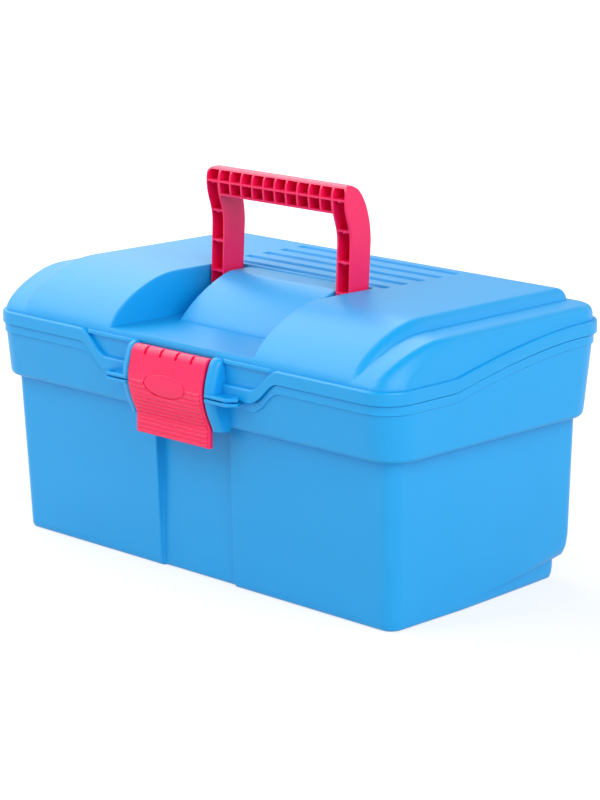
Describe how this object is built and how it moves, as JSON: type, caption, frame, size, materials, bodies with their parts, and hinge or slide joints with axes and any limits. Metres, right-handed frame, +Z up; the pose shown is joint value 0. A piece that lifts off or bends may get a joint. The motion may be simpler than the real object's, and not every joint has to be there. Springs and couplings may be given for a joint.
{
  "type": "horse grooming box",
  "caption": "Moulded plastic grooming box with a hinged lid, folding carry handle, front latch, padlock eyes and a lift-out tray.",
  "frame": {"origin": "on the ground under the middle of the box's band, at the tub's bottom face", "axes": "+X along the box's length, -Y towards the front latch, +Z up"},
  "size_m": [0.39, 0.2431, 0.27],
  "materials": {
    "shell": "injection-moulded polypropylene, sky blue, soft satin",
    "accent": "injection-moulded polypropylene, pink, soft satin",
    "pin": "drawn steel wire",
    "tray": "injection-moulded polypropylene, pale blue, soft satin"
  },
  "bodies": {
    "base": {"base_tub": "shell", "hinge_pin_left": "pin", "hinge_pin_right": "pin"},
    "lid": {"lid_shell": "shell"},
    "handle": {"carry_handle": "accent"},
    "latch": {"front_latch": "accent"},
    "tray": {"lift_out_tray": "tray", "tray_grip": "tray"}
  },
  "joints": [
    {"name": "lid_hinge", "type": "hinge", "parent": "base", "child": "lid", "pos_m": [0, 0.12, 0.171], "axis": [-1, 0, 0], "range_deg": [0, 105]},
    {"name": "handle_fold", "type": "hinge", "parent": "lid", "child": "handle", "pos_m": [0, 0, 0.185], "axis": [1, 0, 0], "range_deg": [0, 90]},
    {"name": "latch_swing", "type": "hinge", "parent": "lid", "child": "latch", "pos_m": [0, -0.1085, 0.1586], "axis": [-1, 0, 0], "range_deg": [0, 90]},
    {"name": "tray_lift", "type": "slide", "parent": "base", "child": "tray", "axis": [0, 0, 1], "range_m": [0, 0.038]}
  ]
}
